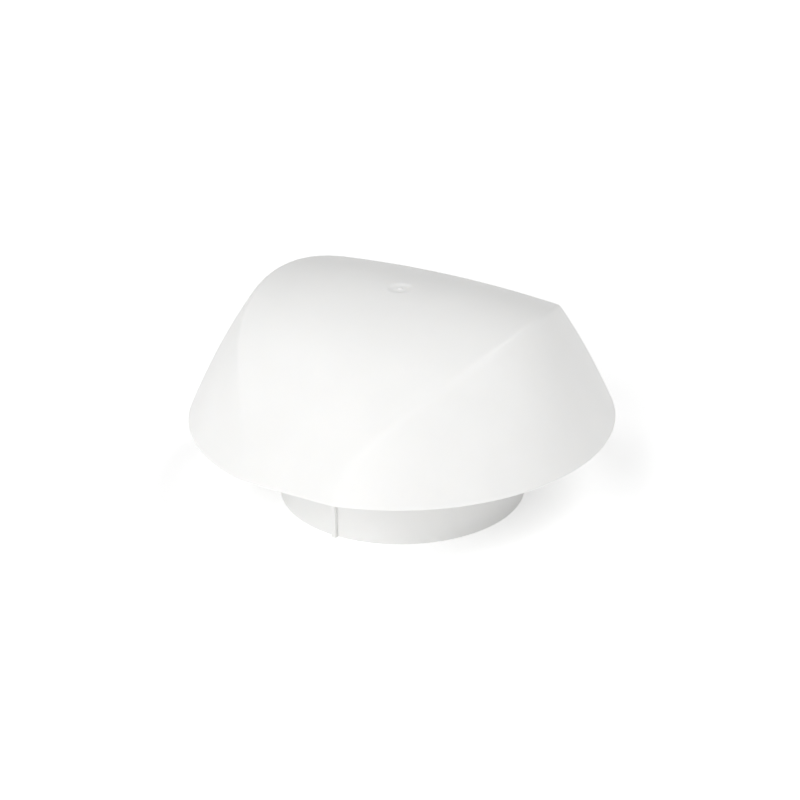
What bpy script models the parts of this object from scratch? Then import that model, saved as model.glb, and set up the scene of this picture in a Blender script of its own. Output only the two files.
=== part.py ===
"""Weather cowl for a round ventilation pipe: a ridged hood screwed on four arms above a pipe collar.

Run with: blender --background --python part.py
Frame: the origin is the centre of the collar's lower end, +Z is up and +X runs along the hood's ridge.
"""

import math

import bmesh
import bpy
from mathutils import Matrix, Vector

MM = 0.001
GAP = 0.3 * MM  # between pieces that touch
BEYOND = 5 * MM  # how far a cutter runs past the face that it cuts

# Driving dimensions of the hood.
RIM_RADIUS = 100 * MM
RIM_HEIGHT = 39.5 * MM  # the rim's plane above the collar's lower end
CROWN_RISE = 63 * MM  # the ridge above the rim's plane
HOOD_WALL = 2.5 * MM
ARCH_RADIUS = 604 * MM  # the ridge's own slight curve, end to end
# The skirt's taper and the crown's drop are power series in shares of the rim radius.
SKIRT_TAPER = {1: 0.429, 2: 0.135, 3: 0.113}
CROWN_DROP = {2: 0.483, 4: 0.031, 8: 0.184}
GATE_RADIUS = 6.5 * MM
GATE_DEPTH = 0.6 * MM
CROWN_RIB_WIDTH = 1.8 * MM
CROWN_RIB_DEPTH = 9 * MM
BOSS_RADIUS = 5 * MM

# Driving dimensions of the collar, which slides over a pipe of 110 mm.
PIPE_RADIUS = 55 * MM
PIPE_STOP = 50 * MM  # how far the pipe goes in
COLLAR_INNER = PIPE_RADIUS + 0.5 * MM
COLLAR_WALL = 2.5 * MM
COLLAR_OUTER = COLLAR_INNER + COLLAR_WALL
COLLAR_TOP = 55 * MM
LEAD_IN = 0.8 * MM  # the chamfer that the pipe enters by
THROAT_RADIUS = 52 * MM
SEAT_HEIGHT = 52.5 * MM  # the face that the screen rests on
KEY_WIDTH = 2.4 * MM
KEY_PROUD = 2 * MM

# The arms, and the screws that go up through them into the hood's bosses.
ARM_TURNS = (45, 135, 225, 315)
SCREW_CIRCLE = 70 * MM
ARM_THICKNESS = 2.5 * MM
ARM_WIDTH = 11 * MM
WEB_THICKNESS = 2.4 * MM
WEB_REACH = 6.5 * MM
WEB_DEPTH = 9 * MM
SHANK_RADIUS = 1.75 * MM
SCREW_HEAD_RADIUS = 3.6 * MM
SCREW_HEAD_HEIGHT = 2.2 * MM
SCREW_LENGTH = 13 * MM

# The insect screen.
SCREEN_THICKNESS = 1.2 * MM
SCREEN_RADIUS = COLLAR_INNER - GAP
SLOT_WIDTH = 2.4 * MM
SLOT_PITCH = 3.6 * MM
SLOT_LENGTH = 21 * MM
SLOT_COLUMN_PITCH = 23 * MM
SLOT_FIELD_RADIUS = 50 * MM
NIB_TURNS = (0, 90, 180, 270)
NIB_WIDTH = 8 * MM
NIB_REACH = 1.2 * MM

# Heights that follow from those above.
CROWN_TOP = RIM_HEIGHT + CROWN_RISE
BOSS_MOUTH = COLLAR_TOP + GAP
ARM_UNDERSIDE = COLLAR_TOP - ARM_THICKNESS
SCREEN_BOTTOM = SEAT_HEIGHT + GAP
SCREEN_TOP = SCREEN_BOTTOM + SCREEN_THICKNESS
NIB_BOTTOM = SCREEN_TOP + GAP

# Facets.
ROUND_STEPS = 72
ARCH_STEPS = 180
PIN_STEPS = 20

# Each look is a name, a base colour, a roughness and a metallic value.
HOOD_PLASTIC = ("hood_plastic", (0.86, 0.86, 0.85), 0.38, 0.0)
COLLAR_PLASTIC = ("collar_plastic", (0.82, 0.82, 0.81), 0.45, 0.0)
SCREEN_PLASTIC = ("screen_plastic", (0.80, 0.80, 0.79), 0.5, 0.0)
STAINLESS = ("stainless_steel", (0.62, 0.62, 0.61), 0.3, 1.0)


def collection(name):
    made = bpy.data.collections.new(name)
    bpy.context.scene.collection.children.link(made)
    return made


def material(name, colour, roughness, metallic):
    """A Principled material, made once and shared by every piece that names it."""
    made = bpy.data.materials.get(name)
    if made:
        return made
    made = bpy.data.materials.new(name)
    made.use_nodes = True
    shader = made.node_tree.nodes["Principled BSDF"]
    shader.inputs["Base Color"].default_value = (*colour, 1)
    shader.inputs["Roughness"].default_value = roughness
    shader.inputs["Metallic"].default_value = metallic
    made.diffuse_color = (*colour, 1)
    return made


def add_part(piece, look):
    """Puts a finished piece in the cowl's collection, with its material and smooth round faces."""
    PARTS.objects.link(piece)
    piece.data.materials.append(material(*look))
    if piece.type == "MESH":
        piece.data.shade_smooth()
        piece.data.set_sharp_from_angle(angle=math.radians(35))


def add_cutter(piece):
    CUTTERS.objects.link(piece)
    piece.hide_render = True
    piece.display_type = "WIRE"
    return piece


def boolean(piece, operation, other):
    modifier = piece.modifiers.new(operation.lower() + "_" + other.name, "BOOLEAN")
    modifier.operation = operation
    modifier.object = other
    modifier.solver = "EXACT"


def object_from(name, shape):
    mesh = bpy.data.meshes.new(name)
    shape.to_mesh(mesh)
    shape.free()
    return bpy.data.objects.new(name, mesh)


def turned(name, profile, steps, closed=False):
    """A profile of (radius, height) turned about its own Z. It runs down its outer side, top to bottom."""
    shape = bmesh.new()
    points = [shape.verts.new((radius, 0, height)) for radius, height in profile]
    for start, end in zip(points, points[1:]):
        shape.edges.new((start, end))
    if closed:
        shape.edges.new((points[-1], points[0]))
    piece = object_from(name, shape)
    screw = piece.modifiers.new("turn", "SCREW")
    screw.steps = steps
    screw.render_steps = steps
    screw.use_merge_vertices = True
    screw.merge_threshold = 0.00001
    return piece


def posts(name, circle, turns, radius, bottom, top, steps=PIN_STEPS):
    """Upright cylinders, one at each turn round a circle about the collar's axis."""
    shape = bmesh.new()
    for turn in turns:
        x, y = around(circle, turn)
        bmesh.ops.create_cone(
            shape,
            cap_ends=True,
            segments=steps,
            radius1=radius,
            radius2=radius,
            depth=top - bottom,
            matrix=Matrix.Translation((x, y, (bottom + top) / 2)),
        )
    return object_from(name, shape)


def boxes(name, places):
    """Boxes in one mesh, each place being its lowest corner, its highest corner and a turn about Z."""
    shape = bmesh.new()
    for low, high, turn in places:
        size = Vector(high) - Vector(low)
        middle = (Vector(high) + Vector(low)) / 2
        spin = Matrix.Rotation(math.radians(turn), 4, "Z")
        place = spin @ Matrix.Translation(middle) @ Matrix.Diagonal((*size, 1))
        bmesh.ops.create_cube(shape, size=1, matrix=place)
    return object_from(name, shape)


def webs(name, outline, thickness, turns):
    """Upright webs in one mesh: an outline of (radius, height) points, made thick and set at each turn."""
    shape = bmesh.new()
    for turn in turns:
        spin = Matrix.Rotation(math.radians(turn), 4, "Z")
        corners = [
            shape.verts.new(spin @ Vector((radius, side * thickness / 2, height)))
            for radius, height in outline
            for side in (-1, 1)
        ]
        bmesh.ops.convex_hull(shape, input=corners)
    return object_from(name, shape)


def around(radius, turn):
    angle = math.radians(turn)
    return radius * math.cos(angle), radius * math.sin(angle)


def series(terms, share):
    return sum(factor * abs(share) ** power for power, factor in terms.items())


def spread(low, high, count):
    return [low + (high - low) * index / (count - 1) for index in range(count)]


def moved_in(profile, distance):
    """The curve that runs beside a profile, at a distance towards the axis that it turns about."""
    moved = []
    for index, (radius, height) in enumerate(profile):
        before = Vector(profile[max(index - 1, 0)])
        after = Vector(profile[min(index + 1, len(profile) - 1)])
        along = (after - before).normalized()
        moved.append((radius + along.y * distance, height - along.x * distance))
    return moved


# --- the hood ----------------------------------------------------------------------------------------


def skirt_radius(height):
    """The skirt's outer radius at a height above the rim. Below the rim the flare just carries on."""
    taper = RIM_RADIUS * series(SKIRT_TAPER, height / RIM_RADIUS)
    return RIM_RADIUS - math.copysign(taper, height)


def bell(name, wall, bottom):
    """The bell that the skirt is part of, moved in by a wall. It ends at a height above the rim."""
    heights = spread(CROWN_RISE + BEYOND, bottom, 10)
    side = moved_in([(skirt_radius(height), RIM_HEIGHT + height) for height in heights], wall)
    return turned(name, [(0, side[0][1]), *side, (0, side[-1][1])], ROUND_STEPS)


def crown_wheel(name, wall):
    """The wheel that the crown is part of. It turns about a level axis far below the ridge."""
    reach = 1.03 * RIM_RADIUS
    across = spread(-reach, reach, 33)
    drops = [RIM_RADIUS * series(CROWN_DROP, side / RIM_RADIUS) for side in across]
    tread = moved_in([(ARCH_RADIUS - drop, -side) for side, drop in zip(across, drops)], wall)
    wheel = turned(name, [(0, tread[0][1]), *tread, (0, tread[-1][1])], ARCH_STEPS)
    wheel.location.z = CROWN_TOP - ARCH_RADIUS
    wheel.rotation_euler.x = math.radians(90)
    return add_cutter(wheel)


def hood_core():
    """The space inside the hood, as a mould's core fills it: round the bosses and the crown's ribs."""
    core = bell("hood_core", HOOD_WALL, -BEYOND)
    boolean(core, "INTERSECT", crown_wheel("crown_inside", HOOD_WALL))
    bosses = posts("bosses", SCREW_CIRCLE, ARM_TURNS, BOSS_RADIUS, BOSS_MOUTH, CROWN_TOP)
    boolean(core, "DIFFERENCE", add_cutter(bosses))
    rib_bottom = CROWN_TOP - HOOD_WALL - CROWN_RIB_DEPTH
    low = (-RIM_RADIUS, -CROWN_RIB_WIDTH / 2, rib_bottom)
    high = (RIM_RADIUS, CROWN_RIB_WIDTH / 2, CROWN_TOP)
    for name, turn in (("rib_along_ridge", 0), ("rib_across_ridge", 90)):
        boolean(core, "DIFFERENCE", add_cutter(boxes(name, [(low, high, turn)])))
    return add_cutter(core)


def hood():
    """The shell: a bell cut by the crown's wheel, less its core, the screw holes and the gate recess."""
    shell = bell("hood", 0, 0)
    boolean(shell, "INTERSECT", crown_wheel("crown_outside", 0))
    boolean(shell, "DIFFERENCE", hood_core())
    hole_top = ARM_UNDERSIDE + SCREW_LENGTH + 1 * MM
    holes = posts(
        "boss_holes", SCREW_CIRCLE, ARM_TURNS, SHANK_RADIUS + GAP, BOSS_MOUTH - BEYOND, hole_top
    )
    boolean(shell, "DIFFERENCE", add_cutter(holes))
    gate = posts("gate_recess", 0, (0,), GATE_RADIUS, CROWN_TOP - GATE_DEPTH, CROWN_TOP + BEYOND)
    boolean(shell, "DIFFERENCE", add_cutter(gate))
    add_part(shell, HOOD_PLASTIC)


# --- the collar, with its arms -----------------------------------------------------------------------


def collar_tube():
    """The pipe socket: a plain tube, with an inner shoulder that stops the pipe and seats the screen."""
    profile = [
        (COLLAR_OUTER, COLLAR_TOP),
        (COLLAR_OUTER, 0),
        (COLLAR_INNER + LEAD_IN, 0),
        (COLLAR_INNER, LEAD_IN),
        (COLLAR_INNER, PIPE_STOP),
        (THROAT_RADIUS, PIPE_STOP),
        (THROAT_RADIUS, SEAT_HEIGHT),
        (COLLAR_INNER, SEAT_HEIGHT),
        (COLLAR_INNER, COLLAR_TOP),
    ]
    return turned("collar", profile, ROUND_STEPS, closed=True)


def collar():
    """The tube with one key rib at -Y, four webbed arms for the hood and four nibs over the screen."""
    tube = collar_tube()
    in_wall = COLLAR_INNER + COLLAR_WALL / 2
    key = ((in_wall, -KEY_WIDTH / 2, 0), (COLLAR_OUTER + KEY_PROUD, KEY_WIDTH / 2, ARM_UNDERSIDE), 270)
    boolean(tube, "UNION", add_cutter(boxes("key_rib", [key])))
    arm_low = (in_wall, -ARM_WIDTH / 2, ARM_UNDERSIDE)
    arm_high = (SCREW_CIRCLE, ARM_WIDTH / 2, COLLAR_TOP)
    arms = boxes("arms", [(arm_low, arm_high, turn) for turn in ARM_TURNS])
    boolean(tube, "UNION", add_cutter(arms))
    ends = posts("arm_ends", SCREW_CIRCLE, ARM_TURNS, ARM_WIDTH / 2, ARM_UNDERSIDE, COLLAR_TOP)
    boolean(tube, "UNION", add_cutter(ends))
    in_arm = ARM_UNDERSIDE + ARM_THICKNESS / 2
    web_outline = [
        (in_wall, ARM_UNDERSIDE - WEB_DEPTH),
        (COLLAR_OUTER, ARM_UNDERSIDE - WEB_DEPTH),
        (COLLAR_OUTER + WEB_REACH, ARM_UNDERSIDE),
        (COLLAR_OUTER + WEB_REACH, in_arm),
        (in_wall, in_arm),
    ]
    boolean(tube, "UNION", add_cutter(webs("arm_webs", web_outline, WEB_THICKNESS, ARM_TURNS)))
    nib_low = (COLLAR_INNER - NIB_REACH, -NIB_WIDTH / 2, NIB_BOTTOM)
    nib_high = (in_wall, NIB_WIDTH / 2, COLLAR_TOP)
    nibs = boxes("screen_nibs", [(nib_low, nib_high, turn) for turn in NIB_TURNS])
    boolean(tube, "UNION", add_cutter(nibs))
    holes = posts(
        "arm_holes",
        SCREW_CIRCLE,
        ARM_TURNS,
        SHANK_RADIUS + GAP,
        ARM_UNDERSIDE - BEYOND,
        COLLAR_TOP + BEYOND,
    )
    boolean(tube, "DIFFERENCE", add_cutter(holes))
    add_part(tube, COLLAR_PLASTIC)


# --- the insect screen and the screws ----------------------------------------------------------------


def slot_corners():
    """The corners of each slot, in rows of short slots that all lie inside a round field."""
    half_length, half_width = SLOT_LENGTH / 2, SLOT_WIDTH / 2
    rows = int((SLOT_FIELD_RADIUS - half_width) / SLOT_PITCH)
    columns = int(SLOT_FIELD_RADIUS / SLOT_COLUMN_PITCH) + 1
    slots = []
    for row in range(-rows, rows + 1):
        low, high = row * SLOT_PITCH - half_width, row * SLOT_PITCH + half_width
        room = math.sqrt(SLOT_FIELD_RADIUS**2 - max(abs(low), abs(high)) ** 2)
        for column in range(-columns, columns + 1):
            middle = column * SLOT_COLUMN_PITCH
            left = max(middle - half_length, -room)
            right = min(middle + half_length, room)
            if right - left > 2 * SLOT_WIDTH:
                slots.append([(left, low), (left, high), (right, high), (right, low)])
    return slots


def insect_screen():
    """A moulded disc grille that drops on the collar's seat and clicks in under the nibs."""
    outline = bpy.data.curves.new("insect_screen", "CURVE")
    outline.dimensions = "2D"
    outline.fill_mode = "BOTH"
    outline.extrude = SCREEN_THICKNESS / 2
    edge = [around(SCREEN_RADIUS, 360 * step / ROUND_STEPS) for step in range(ROUND_STEPS)]
    for loop in [edge, *slot_corners()]:
        spline = outline.splines.new("POLY")
        spline.points.add(len(loop) - 1)
        for point, (x, y) in zip(spline.points, loop):
            point.co = (x, y, 0, 1)
        spline.use_cyclic_u = True
    disc = bpy.data.objects.new("insect_screen", outline)
    disc.location.z = (SCREEN_BOTTOM + SCREEN_TOP) / 2
    add_part(disc, SCREEN_PLASTIC)


def hood_screws():
    """Pan-head self-tapping screws, put in from below. Each has its origin on its own axis."""
    seat = -GAP
    tip = seat + SCREW_LENGTH
    profile = [
        (0, tip),
        (SHANK_RADIUS, tip - 2 * SHANK_RADIUS),
        (SHANK_RADIUS, seat),
        (SCREW_HEAD_RADIUS, seat),
        (SCREW_HEAD_RADIUS, seat - SCREW_HEAD_HEIGHT / 2),
        (SCREW_HEAD_RADIUS * 0.6, seat - SCREW_HEAD_HEIGHT),
        (0, seat - SCREW_HEAD_HEIGHT),
    ]
    for number, turn in enumerate(ARM_TURNS, start=1):
        screw = turned(f"hood_screw_{number}", profile, PIN_STEPS)
        x, y = around(SCREW_CIRCLE, turn)
        screw.location = (x, y, ARM_UNDERSIDE)
        add_part(screw, STAINLESS)


for old in list(bpy.data.objects):
    bpy.data.objects.remove(old)
PARTS = collection("ventilation_cowl")
CUTTERS = collection("cutters")
hood()
collar()
insect_screen()
hood_screws()
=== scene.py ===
"""Looks of a white moulded weather cowl: a ridged hood on four arms above a pipe collar.

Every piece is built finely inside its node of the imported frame. The outer sizes are read from
the frame's boxes, and the constants below repeat the design's inner sizes.
"""

import math

import bmesh
import bpy
import numpy as np
from mathutils import Matrix, Vector


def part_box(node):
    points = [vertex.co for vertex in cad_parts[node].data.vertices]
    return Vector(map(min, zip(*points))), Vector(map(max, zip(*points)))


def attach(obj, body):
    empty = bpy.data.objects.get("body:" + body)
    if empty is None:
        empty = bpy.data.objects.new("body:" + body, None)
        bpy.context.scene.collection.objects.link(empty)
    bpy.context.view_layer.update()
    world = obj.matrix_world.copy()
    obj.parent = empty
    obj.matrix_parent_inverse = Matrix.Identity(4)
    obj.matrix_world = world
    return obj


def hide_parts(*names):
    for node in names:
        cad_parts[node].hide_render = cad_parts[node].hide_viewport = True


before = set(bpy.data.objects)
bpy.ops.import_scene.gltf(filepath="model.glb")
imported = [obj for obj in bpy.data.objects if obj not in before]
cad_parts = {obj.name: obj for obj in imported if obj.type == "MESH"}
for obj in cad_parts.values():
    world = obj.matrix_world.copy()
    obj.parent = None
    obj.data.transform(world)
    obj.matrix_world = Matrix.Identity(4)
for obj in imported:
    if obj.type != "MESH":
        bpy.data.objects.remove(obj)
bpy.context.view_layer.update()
MM = 0.001
BEYOND = 5 * MM  # how far a cutter runs past the face that it cuts

# --- sizes -------------------------------------------------------------------------------------------

HOOD_LOW, HOOD_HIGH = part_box("hood")
COLLAR_LOW, COLLAR_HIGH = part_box("collar")
SCREEN_LOW, SCREEN_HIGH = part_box("insect_screen")
SCREW_LOW, SCREW_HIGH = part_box("hood_screw_1")

RIM_RADIUS = HOOD_HIGH.x
RIM_HEIGHT = HOOD_LOW.z
CROWN_RISE = HOOD_HIGH.z - HOOD_LOW.z
HOOD_WALL = 2.5 * MM
ARCH_RADIUS = 604 * MM  # of the ridge, seen from the front
# How far the skirt draws in above the rim, and how far the crown drops beside the ridge. Each is a sum
# of powers, {power: factor}, of the height or of the distance, all as shares of the rim's radius.
SKIRT_TAPER = {1: 0.429, 2: 0.135, 3: 0.113}
CROWN_DROP = {2: 0.483, 4: 0.031, 8: 0.184}
CREASE_BLEND = 1.5 * MM  # how much height the rounded crease between crown and skirt blends over
INNER_BLEND = 0.6 * MM  # the same on the hood's inner face
LIP_RADIUS = 0.25 * MM
LIP_LEAN = math.radians(24)  # how far the hood's wall leans from upright at the rim
GATE_RADIUS = 6.5 * MM
GATE_DEPTH = 0.6 * MM
GATE_SIDE = 3.6 * MM  # how wide the recess's soft side is
NUB_RADIUS = 1.1 * MM
NUB_SIDE = 0.6 * MM
NUB_HEIGHT = 0.55 * MM
CROWN_RIB_WIDTH = 1.8 * MM
CROWN_RIB_DEPTH = 9 * MM
BOSS_RADIUS = 5 * MM
BOSS_EDGE = 0.5 * MM
SCREW_HOLE_DEPTH = 11 * MM

COLLAR_OUTER = COLLAR_HIGH.x
COLLAR_WALL = 2.5 * MM
COLLAR_INNER = COLLAR_OUTER - COLLAR_WALL
COLLAR_TOP = COLLAR_HIGH.z
COLLAR_EDGE = 0.35 * MM
IN_COLLAR_WALL = COLLAR_OUTER - COLLAR_WALL / 2
LEAD_IN = 0.8 * MM
KEY_PROUD = -COLLAR_LOW.y - COLLAR_OUTER
KEY_WIDTH = 2.4 * MM
PIPE_STOP = 50 * MM
SEAT_HEIGHT = 52.5 * MM
THROAT_RADIUS = 52 * MM
NIB_REACH = 1.2 * MM
NIB_HALF_WIDTH = 4 * MM
NIB_EDGE = 0.15 * MM

SCREW_SPOT = (SCREW_LOW + SCREW_HIGH) / 2
SCREW_CIRCLE = math.hypot(SCREW_SPOT.x, SCREW_SPOT.y)
SCREW_HEAD_RADIUS = (SCREW_HIGH.x - SCREW_LOW.x) / 2
SHANK_RADIUS = 1.75 * MM
GAP = 0.3 * MM  # between pieces that touch
HOLE_RADIUS = SHANK_RADIUS + GAP
ARM_TURNS = (45, 135, 225, 315)
ARM_WIDTH = 11 * MM
ARM_UNDERSIDE = SEAT_HEIGHT
WEB_THICKNESS = 2.4 * MM
WEB_DEPTH = 9 * MM
WEB_REACH = 6.5 * MM
WEB_IN_ARM = 1.2 * MM
BOSS_MOUTH = COLLAR_TOP + GAP


# --- helpers -----------------------------------------------------------------------------------------


def series(terms, share):
    """A sum of factor times share to a power, over {power: factor}."""
    return sum(factor * np.abs(share) ** power for power, factor in terms.items())


def around(radius, turn):
    """The x and y of a place at a radius, turned by degrees from +X."""
    angle = math.radians(turn)
    return radius * math.cos(angle), radius * math.sin(angle)


def object_from(name, shape):
    mesh = bpy.data.meshes.new(name)
    shape.to_mesh(mesh)
    shape.free()
    made = bpy.data.objects.new(name, mesh)
    bpy.context.scene.collection.objects.link(made)
    return made


def from_arrays(name, points, faces):
    mesh = bpy.data.meshes.new(name)
    mesh.from_pydata(points, [], faces)
    mesh.update()
    made = bpy.data.objects.new(name, mesh)
    bpy.context.scene.collection.objects.link(made)
    return made


def applied(piece):
    """Puts a piece's modifiers into its mesh."""
    graph = bpy.context.evaluated_depsgraph_get()
    mesh = bpy.data.meshes.new_from_object(piece.evaluated_get(graph))
    piece.modifiers.clear()
    piece.data = mesh
    return piece


def boolean(piece, operation, other):
    """Joins or cuts a piece with another, which is used up."""
    modifier = piece.modifiers.new(operation.lower(), "BOOLEAN")
    modifier.operation = operation
    modifier.object = other
    modifier.solver = "MANIFOLD"
    applied(piece)
    bpy.data.objects.remove(other)
    return piece


def smooth(piece, angle=35):
    piece.data.shade_smooth()
    piece.data.set_sharp_from_angle(angle=math.radians(angle))
    return piece


def turned(name, profile, steps, closed=False):
    """A profile of (radius, height) turned about Z. It runs down its outer side, top to bottom."""
    shape = bmesh.new()
    points = [shape.verts.new((radius, 0, height)) for radius, height in profile]
    for start, end in zip(points, points[1:]):
        shape.edges.new((start, end))
    if closed:
        shape.edges.new((points[-1], points[0]))
    piece = object_from(name, shape)
    screw = piece.modifiers.new("turn", "SCREW")
    screw.steps = steps
    screw.render_steps = steps
    screw.use_merge_vertices = True
    screw.merge_threshold = 0.000001
    return applied(piece)


def rounded(profile, radius, count=4):
    """A closed profile with its corners rounded to a radius, or to what their sides leave room for."""
    longest_share = 0.45
    points = [Vector(point) for point in profile]
    result = []
    for before, corner, after in zip(points[-1:] + points[:-1], points, points[1:] + points[:1]):
        back, ahead = before - corner, after - corner
        reach = min(radius, back.length * longest_share, ahead.length * longest_share)
        start = corner + back.normalized() * reach
        end = corner + ahead.normalized() * reach
        for step in range(count + 1):
            share = step / count
            on_curve = start * (1 - share) ** 2 + corner * 2 * share * (1 - share) + end * share**2
            result.append(tuple(on_curve))
    return result


def soft_box(name, low, high, turn, edge):
    """A box with bevelled edges, turned about Z."""
    shape = bmesh.new()
    size = Vector(high) - Vector(low)
    middle = (Vector(high) + Vector(low)) / 2
    placing = Matrix.Translation(middle) @ Matrix.Diagonal((*size, 1))
    bmesh.ops.create_cube(shape, size=1, matrix=placing)
    if edge:
        bmesh.ops.bevel(
            shape, geom=shape.edges[:], offset=edge, segments=3, profile=0.5, affect="EDGES"
        )
    shape.transform(Matrix.Rotation(math.radians(turn), 4, "Z"))
    return object_from(name, shape)


def post(name, spot, radius, bottom, top):
    """An upright cylinder."""
    profile = [(0, top), (radius, top), (radius, bottom), (0, bottom)]
    made = turned(name, profile, 48)
    made.data.transform(Matrix.Translation((spot[0], spot[1], 0)))
    return made


# --- materials ---------------------------------------------------------------------------------------

# How fine each noise is: a larger scale makes smaller spots.
SHADE_DRIFT, GLOSS_DRIFT = 22, 60
MOULD_GRAIN, FLOW_RIPPLE = 1900, 34
STEEL_CLOUDS, STEEL_SCRATCHES = 500, 900
FLOOR_CLOUDS = 3
ROUGH_SWING = 0.035
NOISE_LOW, NOISE_HIGH = 0.3, 0.7  # between which noise mostly lies


def node(tree, kind, **values):
    made = tree.nodes.new(kind)
    for key, value in values.items():
        if hasattr(made, key):
            setattr(made, key, value)
        else:
            made.inputs[key.replace("_", " ")].default_value = value
    return made


def noise(tree, place, scale, detail=3.0):
    made = node(tree, "ShaderNodeTexNoise", Scale=scale, Detail=detail)
    tree.links.new(place, made.inputs["Vector"])
    return made.outputs["Fac"]


def ranged(tree, value, low, high):
    """A noise's value, put between two others."""
    made = node(tree, "ShaderNodeMapRange")
    made.inputs["From Min"].default_value = NOISE_LOW
    made.inputs["From Max"].default_value = NOISE_HIGH
    made.inputs["To Min"].default_value = low
    made.inputs["To Max"].default_value = high
    tree.links.new(value, made.inputs["Value"])
    return made.outputs["Result"]


def shader_of(material):
    return material.node_tree.nodes["Principled BSDF"]


def bumps(tree, shader, layers):
    """Adds bump layers, each being (height value, distance in metres, strength)."""
    normal = None
    for height, distance, strength in layers:
        bump = node(tree, "ShaderNodeBump", Strength=strength, Distance=distance)
        tree.links.new(height, bump.inputs["Height"])
        if normal is not None:
            tree.links.new(normal, bump.inputs["Normal"])
        normal = bump.outputs["Normal"]
    tree.links.new(normal, shader.inputs["Normal"])


def moulded_plastic(name, light, dark, rough, glow, grain=1.0):
    """Moulded plastic: slow drifts of shade and gloss, a fine mould grain and a faint flow ripple."""
    made = bpy.data.materials.new(name)
    made.use_nodes = True
    tree, shader = made.node_tree, shader_of(made)
    place = node(tree, "ShaderNodeTexCoord").outputs["Object"]
    shade = node(tree, "ShaderNodeMix", data_type="RGBA")
    shade.inputs["A"].default_value = (*dark, 1)
    shade.inputs["B"].default_value = (*light, 1)
    tree.links.new(ranged(tree, noise(tree, place, SHADE_DRIFT, 4), 0, 1), shade.inputs["Factor"])
    tree.links.new(shade.outputs["Result"], shader.inputs["Base Color"])
    gloss = ranged(tree, noise(tree, place, GLOSS_DRIFT, 5), rough - ROUGH_SWING, rough + ROUGH_SWING)
    tree.links.new(gloss, shader.inputs["Roughness"])
    bumps(
        tree,
        shader,
        [
            (noise(tree, place, MOULD_GRAIN, 2), 0.03 * MM, 0.35 * grain),
            (noise(tree, place, FLOW_RIPPLE, 2), 0.6 * MM, 0.05 * grain),
        ],
    )
    shader.inputs["IOR"].default_value = 1.5
    shader.inputs["Specular IOR Level"].default_value = 0.3
    shader.inputs["Subsurface Weight"].default_value = glow
    shader.inputs["Subsurface Radius"].default_value = (1.0, 0.92, 0.82)
    shader.inputs["Subsurface Scale"].default_value = 2 * MM
    return made


def stainless(name):
    """Rolled stainless steel, with fine scratches that run across and a little dulling."""
    made = bpy.data.materials.new(name)
    made.use_nodes = True
    tree, shader = made.node_tree, shader_of(made)
    place = node(tree, "ShaderNodeTexCoord").outputs["Object"]
    stretch = node(tree, "ShaderNodeMapping")
    stretch.inputs["Scale"].default_value = (9, 1, 1)
    tree.links.new(place, stretch.inputs["Vector"])
    shade = node(tree, "ShaderNodeMix", data_type="RGBA")
    shade.inputs["A"].default_value = (0.50, 0.50, 0.49, 1)
    shade.inputs["B"].default_value = (0.66, 0.66, 0.65, 1)
    tree.links.new(ranged(tree, noise(tree, place, STEEL_CLOUDS), 0, 1), shade.inputs["Factor"])
    tree.links.new(shade.outputs["Result"], shader.inputs["Base Color"])
    scratches = noise(tree, stretch.outputs["Vector"], STEEL_SCRATCHES, 2)
    tree.links.new(ranged(tree, scratches, 0.24, 0.42), shader.inputs["Roughness"])
    bumps(tree, shader, [(scratches, 0.01 * MM, 0.3)])
    shader.inputs["Metallic"].default_value = 1.0
    return made


FLOOR_GLOW, FAR_GLOW = 0.37, 1.0
NEAR_FLOOR, FAR_FLOOR = 0.5, 1.4  # metres from the cowl, between which the glow grows


def floor_material():
    """Pale matt board that glows a little, and more so far away, where the lights don't reach."""
    made = bpy.data.materials.new("pale_floor")
    made.use_nodes = True
    tree, shader = made.node_tree, shader_of(made)
    place = node(tree, "ShaderNodeTexCoord").outputs["Object"]
    shade = node(tree, "ShaderNodeMix", data_type="RGBA")
    shade.inputs["A"].default_value = (0.90, 0.90, 0.90, 1)
    shade.inputs["B"].default_value = (0.93, 0.93, 0.93, 1)
    tree.links.new(ranged(tree, noise(tree, place, FLOOR_CLOUDS), 0, 1), shade.inputs["Factor"])
    tree.links.new(shade.outputs["Result"], shader.inputs["Base Color"])
    shader.inputs["Roughness"].default_value = 0.9
    shader.inputs["Emission Color"].default_value = (1, 1, 1, 1)
    reach = node(tree, "ShaderNodeVectorMath", operation="LENGTH")
    tree.links.new(place, reach.inputs[0])
    glow = node(tree, "ShaderNodeMapRange")
    glow.inputs["From Min"].default_value = NEAR_FLOOR
    glow.inputs["From Max"].default_value = FAR_FLOOR
    glow.inputs["To Min"].default_value = FLOOR_GLOW
    glow.inputs["To Max"].default_value = FAR_GLOW
    tree.links.new(reach.outputs["Value"], glow.inputs["Value"])
    tree.links.new(glow.outputs["Result"], shader.inputs["Emission Strength"])
    return made


HOOD_LOOK = moulded_plastic("hood_plastic", (0.88, 0.88, 0.87), (0.85, 0.85, 0.84), 0.44, 0.12)
COLLAR_LOOK = moulded_plastic("collar_plastic", (0.87, 0.87, 0.86), (0.84, 0.84, 0.83), 0.42, 0.12)
SCREEN_LOOK = moulded_plastic("screen_plastic", (0.83, 0.83, 0.82), (0.79, 0.79, 0.78), 0.5, 0.1, 1.6)
STEEL_LOOK = stainless("stainless_steel")


def place_piece(piece, look, slot, *nodes):
    """Finishes a piece: its material, the body that it rides on and the CAD nodes it stands for."""
    piece.data.materials.clear()
    piece.data.materials.append(look)
    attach(piece, "root")
    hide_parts(*nodes)


# --- the hood ----------------------------------------------------------------------------------------


def blended(first, second, blend):
    """The lower of two heights, rounded where they cross."""
    near = np.maximum(blend - np.abs(first - second), 0)
    return np.minimum(first, second) - near**2 / (4 * blend)


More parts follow.
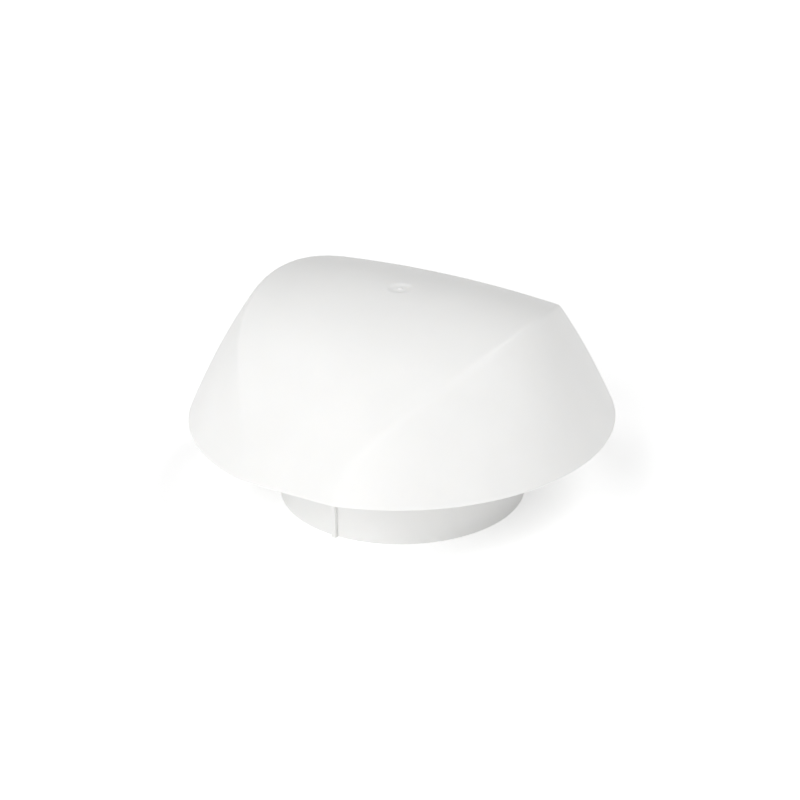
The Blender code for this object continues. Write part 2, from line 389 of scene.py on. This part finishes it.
# The skirt's radius at many heights, which skirt_height reads the other way round.
TAPER_SHARES = np.linspace(-0.1, 1.0, 2201)
TAPER_RADII = RIM_RADIUS * (1 - np.sign(TAPER_SHARES) * series(SKIRT_TAPER, TAPER_SHARES))


def skirt_height(radius):
    """The skirt's height above the rim where it has a radius."""
    shares = np.interp(radius, TAPER_RADII[::-1], TAPER_SHARES[::-1])
    return RIM_RADIUS * shares


def crown_height(x, y):
    """The crown's height above the rim: a wheel's tread that turns about a level axis far below."""
    tread = ARCH_RADIUS - RIM_RADIUS * series(CROWN_DROP, y / RIM_RADIUS)
    return CROWN_RISE - ARCH_RADIUS + np.sqrt(tread**2 - x**2)


def steepness(height, x, y):
    """The length of a surface's normal for each unit of height, by small differences."""
    small = 0.05 * MM
    along_x = (height(x + small, y) - height(x - small, y)) / (2 * small)
    along_y = (height(x, y + small) - height(x, y - small)) / (2 * small)
    return np.sqrt(1 + along_x**2 + along_y**2)


def skirt_at(x, y):
    return skirt_height(np.hypot(x, y))


def hood_height(x, y, wall=0.0, blend=CREASE_BLEND):
    """The height above the rim of the hood's outer face, or of a face that lies a wall below it."""
    crown, skirt = crown_height(x, y), skirt_at(x, y)
    if wall:
        crown = crown - wall * steepness(crown_height, x, y)
        skirt = skirt - wall * steepness(skirt_at, x, y)
    return blended(crown, skirt, blend)


def radius_where(level, wall, turns):
    """How far out a hood face has come down to a level, at each turn, by halving."""
    low = np.full_like(turns, 0.3 * RIM_RADIUS)
    high = np.full_like(turns, 1.04 * RIM_RADIUS)
    for _ in range(40):
        middle = (low + high) / 2
        above = hood_height(middle * np.cos(turns), middle * np.sin(turns), wall) > level
        low, high = np.where(above, middle, low), np.where(above, high, middle)
    return low


def gate_dip(distance):
    """The gate's recess: a round flat floor with soft sides, and a nub where the sprue broke off."""
    side = np.clip((GATE_RADIUS - distance) / GATE_SIDE, 0, 1)
    dip = GATE_DEPTH * side**2 * (3 - 2 * side)
    rise = np.clip((NUB_RADIUS - distance) / NUB_SIDE, 0, 1)
    return dip - NUB_HEIGHT * rise**2 * (3 - 2 * rise)


def ring_faces(lower, upper, count):
    """Quads between two rings of points, given by the index of the first point of each."""
    steps = range(count)
    return [(lower + i, upper + i, upper + (i + 1) % count, lower + (i + 1) % count) for i in steps]


RING_POINTS = 432
GATE_RINGS, FACE_RINGS, LIP_RINGS, INNER_RINGS = 38, 120, 8, 59
FIRST_RING, GATE_FIELD = 0.15 * MM, 8 * MM  # the radii between which the rings are finest


def hood_shell():
    """Outer face, lip and inner face as one closed mesh, on rings that run out from the middle."""
    turns = np.linspace(0, 2 * math.pi, RING_POINTS, endpoint=False)
    cosines, sines = np.cos(turns), np.sin(turns)
    lip_start = LIP_RADIUS * (1 + math.sin(LIP_LEAN))
    edge = radius_where(lip_start, 0, turns)
    inner_edge = radius_where(0, HOOD_WALL, turns) + LIP_RADIUS * 0.2
    fine = np.linspace(FIRST_RING, GATE_FIELD, GATE_RINGS)
    rings = []
    for radius in fine:
        x, y = radius * cosines, radius * sines
        rings.append((x, y, hood_height(x, y) - gate_dip(radius)))
    for share in np.linspace(0, 1, FACE_RINGS + 1)[1:]:
        radius = GATE_FIELD + (edge - GATE_FIELD) * share
        x, y = radius * cosines, radius * sines
        rings.append((x, y, hood_height(x, y)))
    centre_line = edge - LIP_RADIUS * math.cos(LIP_LEAN)
    for angle in np.linspace(LIP_LEAN, -math.pi / 2, LIP_RINGS + 1)[1:]:
        radius = centre_line + LIP_RADIUS * math.cos(angle)
        height = np.full_like(turns, LIP_RADIUS * (1 + math.sin(angle)))
        rings.append((radius * cosines, radius * sines, height))
    for share in np.linspace(1, 0, INNER_RINGS + 1)[:-1]:
        radius = FIRST_RING + (inner_edge - FIRST_RING) * share
        x, y = radius * cosines, radius * sines
        rings.append((x, y, np.maximum(hood_height(x, y, HOOD_WALL, INNER_BLEND), 0)))
    points = [(0, 0, float(hood_height(0.0, 0.0)) - float(gate_dip(0.0)))]
    for x, y, height in rings:
        points.extend(zip(x.tolist(), y.tolist(), height.tolist()))
    points.append((0, 0, float(hood_height(0.0, 0.0, HOOD_WALL, INNER_BLEND))))
    count = RING_POINTS
    faces = [(0, 1 + i, 1 + (i + 1) % count) for i in range(count)]
    for number in range(len(rings) - 1):
        faces += ring_faces(1 + number * count, 1 + (number + 1) * count, count)
    last = 1 + (len(rings) - 1) * count
    faces += [(len(points) - 1, last + (i + 1) % count, last + i) for i in range(count)]
    shell = from_arrays("hood_shell", points, faces)
    shell.data.transform(Matrix.Translation((0, 0, RIM_HEIGHT)))
    return shell


def wall_middle(x, y):
    """The world height of the middle of the hood's wall."""
    middle = hood_height(np.float64(x), np.float64(y), HOOD_WALL / 2, INNER_BLEND)
    return RIM_HEIGHT + float(middle)


def grown_into_wall(piece):
    """Moves the top points of a piece that stands under the crown to the middle of the hood's wall."""
    top = max(vertex.co.z for vertex in piece.data.vertices)
    for vertex in piece.data.vertices:
        if vertex.co.z > top - 0.01 * MM:  # a top point, but for rounding
            vertex.co.z = wall_middle(vertex.co.x, vertex.co.y)
    return piece


def boss(turn):
    """A blind boss for a screw, from its mouth up into the crown's wall."""
    hole_top = BOSS_MOUTH + SCREW_HOLE_DEPTH
    top = RIM_HEIGHT + CROWN_RISE
    profile = [
        (0, top),
        (BOSS_RADIUS, top),
        (BOSS_RADIUS, BOSS_MOUTH + BOSS_EDGE),
        (BOSS_RADIUS - BOSS_EDGE, BOSS_MOUTH),
        (HOLE_RADIUS + BOSS_EDGE, BOSS_MOUTH),
        (HOLE_RADIUS, BOSS_MOUTH + BOSS_EDGE),
        (HOLE_RADIUS, hole_top),
        (0, hole_top),
    ]
    made = turned(f"boss_{turn}", profile, 40)
    made.data.transform(Matrix.Translation((*around(SCREW_CIRCLE, turn), 0)))
    return grown_into_wall(made)


def crown_rib(turn):
    """A stiffening rib under the crown. It ends where the wall comes down to its lower edge."""
    bottom = RIM_HEIGHT + CROWN_RISE - HOOD_WALL - CROWN_RIB_DEPTH
    cosine, sine = around(1, turn)
    least_depth = 0.2 * MM
    lengths = np.linspace(0, RIM_RADIUS, 400)
    reach = max(s for s in lengths if wall_middle(s * cosine, s * sine) > bottom + least_depth)
    stations = np.linspace(-reach, reach, 61)
    half = CROWN_RIB_WIDTH / 2
    points = []
    for s in stations:
        top = wall_middle(s * cosine, s * sine)
        for side, height in ((-half, bottom), (half, bottom), (half, top), (-half, top)):
            points.append((s * cosine - side * sine, s * sine + side * cosine, height))
    faces = [(3, 2, 1, 0), tuple(len(points) - 4 + i for i in range(4))]
    for station in range(len(stations) - 1):
        a, b = 4 * station, 4 * station + 4
        faces += [(a + i, a + (i + 1) % 4, b + (i + 1) % 4, b + i) for i in range(4)]
    return from_arrays(f"crown_rib_{turn}", points, faces)


def hood():
    shell = hood_shell()
    for turn in ARM_TURNS:
        boolean(shell, "UNION", boss(turn))
    for turn in (0, 90):
        boolean(shell, "UNION", crown_rib(turn))
    shell.name = "hood_moulding"
    smooth(shell, 40)
    place_piece(shell, HOOD_LOOK, "hood_plastic", "hood")


# --- the collar --------------------------------------------------------------------------------------


def collar_tube():
    profile = [
        (COLLAR_OUTER, COLLAR_TOP),
        (COLLAR_OUTER, COLLAR_LOW.z),
        (COLLAR_INNER + LEAD_IN, COLLAR_LOW.z),
        (COLLAR_INNER, COLLAR_LOW.z + LEAD_IN),
        (COLLAR_INNER, PIPE_STOP),
        (THROAT_RADIUS, PIPE_STOP),
        (THROAT_RADIUS, SEAT_HEIGHT),
        (COLLAR_INNER, SEAT_HEIGHT),
        (COLLAR_INNER, COLLAR_TOP),
    ]
    return turned("collar_moulding", rounded(profile, COLLAR_EDGE), 288, closed=True)


def web(turn):
    """The upright web under an arm, with a slanted lower edge."""
    outline = [
        (IN_COLLAR_WALL, ARM_UNDERSIDE - WEB_DEPTH),
        (COLLAR_OUTER, ARM_UNDERSIDE - WEB_DEPTH),
        (COLLAR_OUTER + WEB_REACH, ARM_UNDERSIDE),
        (COLLAR_OUTER + WEB_REACH, ARM_UNDERSIDE + WEB_IN_ARM),
        (IN_COLLAR_WALL, ARM_UNDERSIDE + WEB_IN_ARM),
    ]
    shape = bmesh.new()
    corners = [
        shape.verts.new((radius, side * WEB_THICKNESS / 2, height))
        for radius, height in outline
        for side in (-1, 1)
    ]
    bmesh.ops.convex_hull(shape, input=corners)
    shape.transform(Matrix.Rotation(math.radians(turn), 4, "Z"))
    return object_from(f"web_{turn}", shape)


def collar():
    tube = collar_tube()
    low = (IN_COLLAR_WALL, -KEY_WIDTH / 2, COLLAR_LOW.z)
    high = (COLLAR_OUTER + KEY_PROUD, KEY_WIDTH / 2, ARM_UNDERSIDE)
    boolean(tube, "UNION", soft_box("key_rib", low, high, 270, COLLAR_EDGE))
    for turn in ARM_TURNS:
        spot = around(SCREW_CIRCLE, turn)
        low = (IN_COLLAR_WALL, -ARM_WIDTH / 2, ARM_UNDERSIDE)
        high = (SCREW_CIRCLE, ARM_WIDTH / 2, COLLAR_TOP)
        boolean(tube, "UNION", soft_box("arm", low, high, turn, 0))
        boolean(tube, "UNION", post("arm_end", spot, ARM_WIDTH / 2, ARM_UNDERSIDE, COLLAR_TOP))
        boolean(tube, "UNION", web(turn))
        hole = post("arm_hole", spot, HOLE_RADIUS, ARM_UNDERSIDE - BEYOND, COLLAR_TOP + BEYOND)
        boolean(tube, "DIFFERENCE", hole)
    low = (COLLAR_INNER - NIB_REACH, -NIB_HALF_WIDTH, SCREEN_HIGH.z + GAP)
    high = (IN_COLLAR_WALL, NIB_HALF_WIDTH, COLLAR_TOP)
    for turn in (0, 90, 180, 270):
        boolean(tube, "UNION", soft_box("nib", low, high, turn, NIB_EDGE))
    smooth(tube, 30)
    place_piece(tube, COLLAR_LOOK, "collar_plastic", "collar")


# --- the insect screen -------------------------------------------------------------------------------


SLOT_WIDTH, SLOT_LENGTH = 2.4 * MM, 21 * MM
ROW_PITCH, COLUMN_PITCH = 3.6 * MM, 23 * MM
FIELD_RADIUS = 50 * MM
GRILLE_EDGE = 0.12 * MM
GRILLE_POINTS = 144


def slot_loops():
    """The outline of each slot: rows of short slots with round ends, all inside a round field."""
    half_width = SLOT_WIDTH / 2
    rows = int((FIELD_RADIUS - half_width) / ROW_PITCH)
    columns = int(FIELD_RADIUS / COLUMN_PITCH) + 1
    for row in range(-rows, rows + 1):
        y = row * ROW_PITCH
        room = math.sqrt(FIELD_RADIUS**2 - (abs(y) + half_width) ** 2)
        for column in range(-columns, columns + 1):
            left = max(column * COLUMN_PITCH - SLOT_LENGTH / 2, -room) + half_width
            right = min(column * COLUMN_PITCH + SLOT_LENGTH / 2, room) - half_width
            if right - left > SLOT_WIDTH:
                ends = [(right, around(half_width, angle)) for angle in range(-90, 91, 30)]
                ends += [(left, around(half_width, angle)) for angle in range(90, 271, 30)]
                yield [(x + out_x, y + out_y) for x, (out_x, out_y) in ends]


def insect_screen():
    """A flat disc with slots, made as a filled outline with bevelled edges."""
    thickness = SCREEN_HIGH.z - SCREEN_LOW.z
    outline = bpy.data.curves.new("screen_grille", "CURVE")
    outline.dimensions = "2D"
    outline.fill_mode = "BOTH"
    outline.bevel_depth = GRILLE_EDGE
    outline.bevel_resolution = 1
    outline.offset = -GRILLE_EDGE
    outline.extrude = thickness / 2 - GRILLE_EDGE
    rim = [around(SCREEN_HIGH.x, 360 * step / GRILLE_POINTS) for step in range(GRILLE_POINTS)]
    for loop in [rim, *slot_loops()]:
        spline = outline.splines.new("POLY")
        spline.points.add(len(loop) - 1)
        for point, (x, y) in zip(spline.points, loop):
            point.co = (x, y, 0, 1)
        spline.use_cyclic_u = True
    curve = bpy.data.objects.new("screen_curve", outline)
    bpy.context.scene.collection.objects.link(curve)
    bpy.context.view_layer.update()
    graph = bpy.context.evaluated_depsgraph_get()
    mesh = bpy.data.meshes.new_from_object(curve.evaluated_get(graph))
    bpy.data.objects.remove(curve)
    shape = bmesh.new()
    shape.from_mesh(mesh)
    bmesh.ops.remove_doubles(shape, verts=shape.verts[:], dist=0.001 * MM)
    shape.transform(Matrix.Translation((0, 0, (SCREEN_LOW.z + SCREEN_HIGH.z) / 2)))
    grille = object_from("screen_grille", shape)
    smooth(grille, 30)
    place_piece(grille, SCREEN_LOOK, "screen_plastic", "insect_screen")


# --- the screws --------------------------------------------------------------------------------------


SCREW_LENGTH, SCREW_POINT = 13 * MM, 2.6 * MM
HEAD_HEIGHT = 2.2 * MM
THREAD_PITCH, THREAD_DEPTH = 1.3 * MM, 0.4 * MM
THREAD_MARGIN = 3 * MM  # plain length at each end of the thread
RECESS_REACH, RECESS_HALF_WIDTH, RECESS_DEPTH = 1.7 * MM, 0.35 * MM, 1.3 * MM
LAST_TWIST = 20  # degrees that each screw is turned on past the one before


def head_point(angle):
    """A point of the pan head's profile, from its wide edge at 0 degrees to its middle at 90."""
    radius = SCREW_HEAD_RADIUS * math.cos(math.radians(angle)) ** 0.6
    return radius, -HEAD_HEIGHT * math.sin(math.radians(angle))


def screw_shape():
    """A pan-head screw that points up, with its head's seat at the origin and a cross recess below."""
    crest, root = SHANK_RADIUS, SHANK_RADIUS - THREAD_DEPTH
    profile = [(0, SCREW_LENGTH), (root, SCREW_LENGTH - SCREW_POINT)]
    height = SCREW_LENGTH - THREAD_MARGIN
    while height > THREAD_MARGIN:
        profile.append((root, height))
        profile.append((crest, height - 0.45 * THREAD_PITCH))
        profile.append((root, height - 0.9 * THREAD_PITCH))
        height -= THREAD_PITCH
    profile.append((root, 0))
    profile += [head_point(angle) for angle in range(0, 90, 15)]
    profile.append((0, -HEAD_HEIGHT))
    body = turned("screw", profile, 40)
    low = (-RECESS_REACH, -RECESS_HALF_WIDTH, -HEAD_HEIGHT - 1 * MM)
    high = (RECESS_REACH, RECESS_HALF_WIDTH, -HEAD_HEIGHT + RECESS_DEPTH)
    for turn in (0, 90):
        boolean(body, "DIFFERENCE", soft_box("recess", low, high, turn, 0))
    return body


def hood_screws():
    """The four screws. Each stopped at an angle of its own when it was driven in."""
    first = smooth(screw_shape(), 30)
    for number, turn in enumerate(ARM_TURNS, start=1):
        name = f"hood_screw_{number}"
        low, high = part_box(name)
        spot = (low + high) / 2
        screw = bpy.data.objects.new(f"pan_head_screw_{number}", first.data.copy())
        bpy.context.scene.collection.objects.link(screw)
        screw.location = (spot.x, spot.y, ARM_UNDERSIDE - GAP)
        screw.rotation_euler.z = math.radians(turn + LAST_TWIST * number)
        place_piece(screw, STEEL_LOOK, "stainless", name)
    bpy.data.objects.remove(first)


# --- the stage ---------------------------------------------------------------------------------------


AIM = Vector((0, 0, RIM_HEIGHT))
CAMERA_DISTANCE = 12 * RIM_RADIUS
AZIMUTH, ELEVATION, ROLL = math.radians(32.3), math.radians(25.7), math.radians(-0.75)
LIGHT_DISTANCE, LIGHT_WIDTH = 1.8, 1.2
FLOOR_REACH = 20


def direction(azimuth, elevation):
    """From the cowl towards a viewer. Azimuth 0 is at -Y and 90 is at +X."""
    level = math.cos(elevation)
    return Vector((math.sin(azimuth) * level, -math.cos(azimuth) * level, math.sin(elevation)))


def camera():
    """The camera, with a small shift that brings the cowl to its place in the frame."""
    data = bpy.data.cameras.new("camera")
    data.sensor_width = 36
    data.lens = 115.2
    data.shift_x = -0.0023
    data.shift_y = 0.0141
    made = bpy.data.objects.new("camera", data)
    bpy.context.scene.collection.objects.link(made)
    back = direction(AZIMUTH, ELEVATION)
    made.location = AIM + back * CAMERA_DISTANCE
    made.rotation_mode = "QUATERNION"
    turn = Matrix.Rotation(ROLL, 4, "Z").to_quaternion()
    made.rotation_quaternion = (-back).to_track_quat("-Z", "Y") @ turn
    bpy.context.scene.camera = made


def area_light(name, azimuth, elevation, power):
    """A round soft light that faces the cowl."""
    data = bpy.data.lights.new(name, "AREA")
    data.shape = "DISK"
    data.size = LIGHT_WIDTH
    data.energy = power
    made = bpy.data.objects.new(name, data)
    bpy.context.scene.collection.objects.link(made)
    towards = direction(math.radians(azimuth), math.radians(elevation))
    made.location = AIM + towards * LIGHT_DISTANCE
    made.rotation_mode = "QUATERNION"
    made.rotation_quaternion = (-towards).to_track_quat("-Z", "Y")


def stage():
    """The floor, the world and the lights."""
    shape = bmesh.new()
    bmesh.ops.create_grid(shape, x_segments=1, y_segments=1, size=FLOOR_REACH)
    floor = object_from("floor", shape)
    floor.location.z = COLLAR_LOW.z
    floor.data.materials.append(floor_material())
    world = bpy.data.worlds.new("studio")
    bpy.context.scene.world = world
    world.use_nodes = True
    sky = world.node_tree.nodes["Background"]
    sky.inputs["Color"].default_value = (1, 1, 1, 1)
    sky.inputs["Strength"].default_value = 0.15
    area_light("key", azimuth=0, elevation=30, power=17.3)
    area_light("right", azimuth=115, elevation=55, power=13.8)
    area_light("left", azimuth=-80, elevation=55, power=7.2)
    bpy.context.scene.view_settings.view_transform = "Standard"


hood()
collar()
insect_screen()
hood_screws()
camera()
stage()
